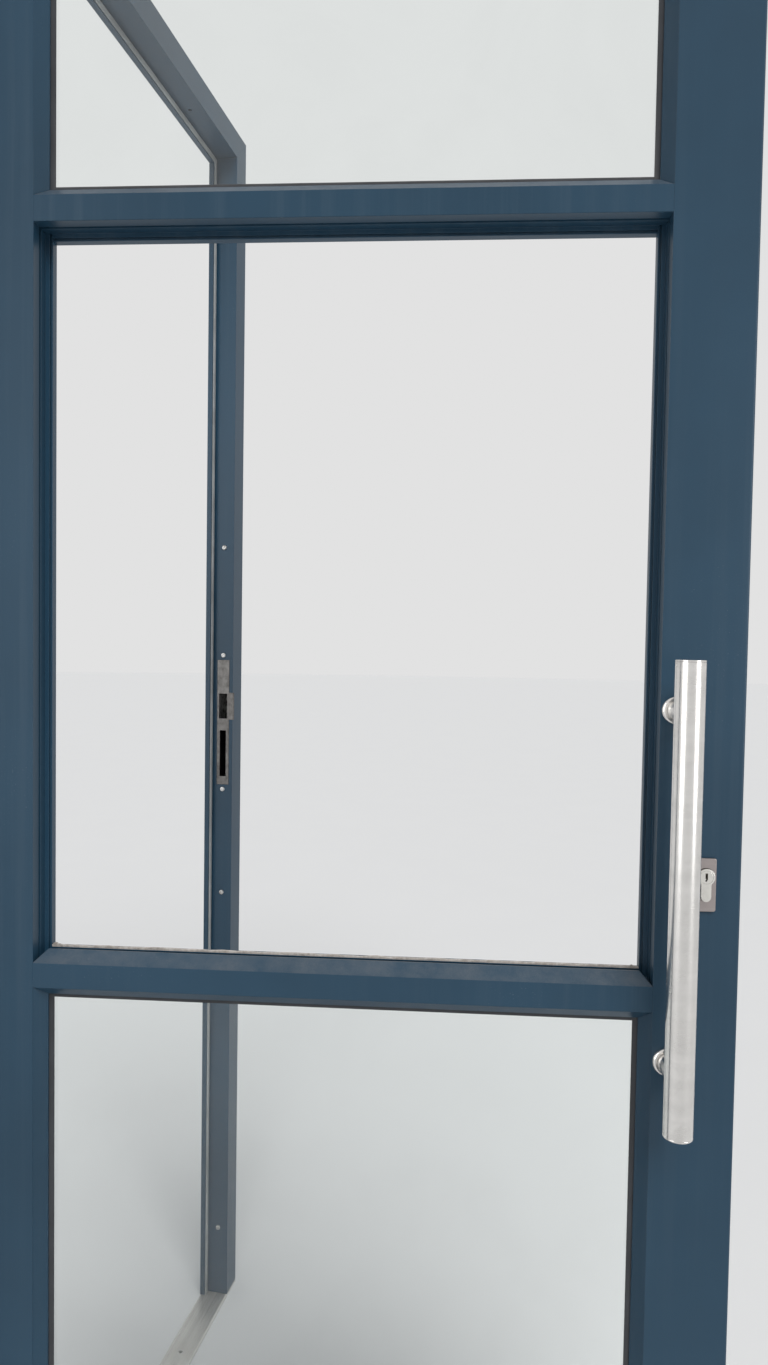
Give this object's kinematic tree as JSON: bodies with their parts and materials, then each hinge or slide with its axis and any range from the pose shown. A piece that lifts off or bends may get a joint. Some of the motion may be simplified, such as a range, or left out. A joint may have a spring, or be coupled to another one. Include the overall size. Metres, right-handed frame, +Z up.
{
  "type": "glazed entrance door",
  "caption": "Glazed aluminium entrance door standing open in its frame, with cross rails, an unglazed middle light, a tubular pull handle, a swing-bolt lock and a roller latch.",
  "frame": {"origin": "under the middle of the threshold, on the floor, halfway through the frame's depth", "axes": "+X across the doorway from the hinge jamb to the lock jamb, +Y from the pull side to the push side, +Z up; the leaf is stored open by 81.7 degrees towards the pull side (-Y)"},
  "size_m": [0.898, 0.8501, 2.211],
  "materials": {
    "powder_coat": "satin",
    "mill_aluminium": "satin",
    "brushed_stainless": "satin",
    "escutcheon_steel": "satin",
    "nickel": "gloss",
    "zinc_steel": "satin",
    "glass": "gloss",
    "gasket_rubber": "matte",
    "seal_rubber": "matte",
    "sealant": "matte",
    "brush_pile": "matte",
    "nylon": "matte",
    "block_plastic": "matte"
  },
  "bodies": {
    "frame": {"hinge_jamb": "powder_coat", "lock_jamb": "powder_coat", "head": "powder_coat", "threshold": "mill_aluminium", "corner_cleats": "mill_aluminium", "stop_seals": "seal_rubber", "jamb_screws": "zinc_steel", "strike_plate": "brushed_stainless", "strike_box": "zinc_steel", "hinge_frame_plate_1": "powder_coat", "hinge_frame_plate_2": "powder_coat", "hinge_frame_plate_3": "powder_coat", "hinge_pins": "brushed_stainless", "hinge_frame_screws": "zinc_steel"},
    "leaf": {"hinge_stile": "powder_coat", "lock_stile": "powder_coat", "top_rail": "powder_coat", "transom_rail": "powder_coat", "mid_rail": "powder_coat", "bottom_rail": "powder_coat", "shear_blocks": "mill_aluminium", "bottom_brush": "brush_pile", "upper_bead_left": "powder_coat", "upper_bead_right": "powder_coat", "upper_bead_bottom": "powder_coat", "upper_bead_top": "powder_coat", "lower_bead_left": "powder_coat", "lower_bead_right": "powder_coat", "lower_bead_bottom": "powder_coat", "lower_bead_top": "powder_coat", "middle_bead_bottom": "powder_coat", "upper_glass": "glass", "lower_glass": "glass", "upper_gaskets": "gasket_rubber", "lower_gaskets": "gasket_rubber", "setting_blocks": "block_plastic", "old_sealant": "sealant", "hinge_leaf_plate_1": "powder_coat", "hinge_leaf_plate_2": "powder_coat", "hinge_leaf_plate_3": "powder_coat", "hinge_leaf_screws": "zinc_steel", "handle_bar": "brushed_stainless", "handle_caps": "brushed_stainless", "handle_posts": "brushed_stainless", "handle_roses": "brushed_stainless", "handle_bolts": "brushed_stainless", "cylinder_body": "nickel", "rear_plug": "nickel", "escutcheons": "escutcheon_steel", "lock_faceplate": "brushed_stainless", "lock_mounting_blocks": "zinc_steel", "lock_screws": "zinc_steel", "lock_case": "zinc_steel", "bolt_pivot_pin": "zinc_steel"},
    "key_way": {"key_plug": "nickel", "lock_cam": "zinc_steel"},
    "bolt": {"swing_bolt": "zinc_steel"},
    "latch": {"latch_slide": "zinc_steel", "roller_pin": "zinc_steel"},
    "roller": {"latch_roller": "nylon"}
  },
  "joints": [
    {"name": "leaf_hinge", "type": "hinge", "parent": "frame", "child": "leaf", "pos_m": [-0.402, -0.033, 1.087], "axis": [0, 0, -1], "range_deg": [-81.7, 23.3]},
    {"name": "plug_turn", "type": "hinge", "parent": "leaf", "child": "key_way", "pos_m": [-0.26456, -0.78807, 1.0424], "axis": [0.9895, 0.1444, 0], "range_deg": [0, 360]},
    {"name": "bolt_swing", "type": "hinge", "parent": "leaf", "child": "bolt", "pos_m": [-0.26139, -0.80984, 1.05], "axis": [0.9895, 0.1444, 0], "range_deg": [0, 90]},
    {"name": "latch_slide", "type": "slide", "parent": "leaf", "child": "latch", "axis": [0.1444, -0.9895, 0], "range_m": [0, 0.007]},
    {"name": "latch_roller", "type": "hinge", "parent": "latch", "child": "roller", "pos_m": [-0.26023, -0.81775, 1.1475], "axis": [0, 0, 1], "continuous": true}
  ],
  "couplings": [
    {"joint": "bolt_swing", "follows": "plug_turn", "ratio": 0.25}
  ]
}
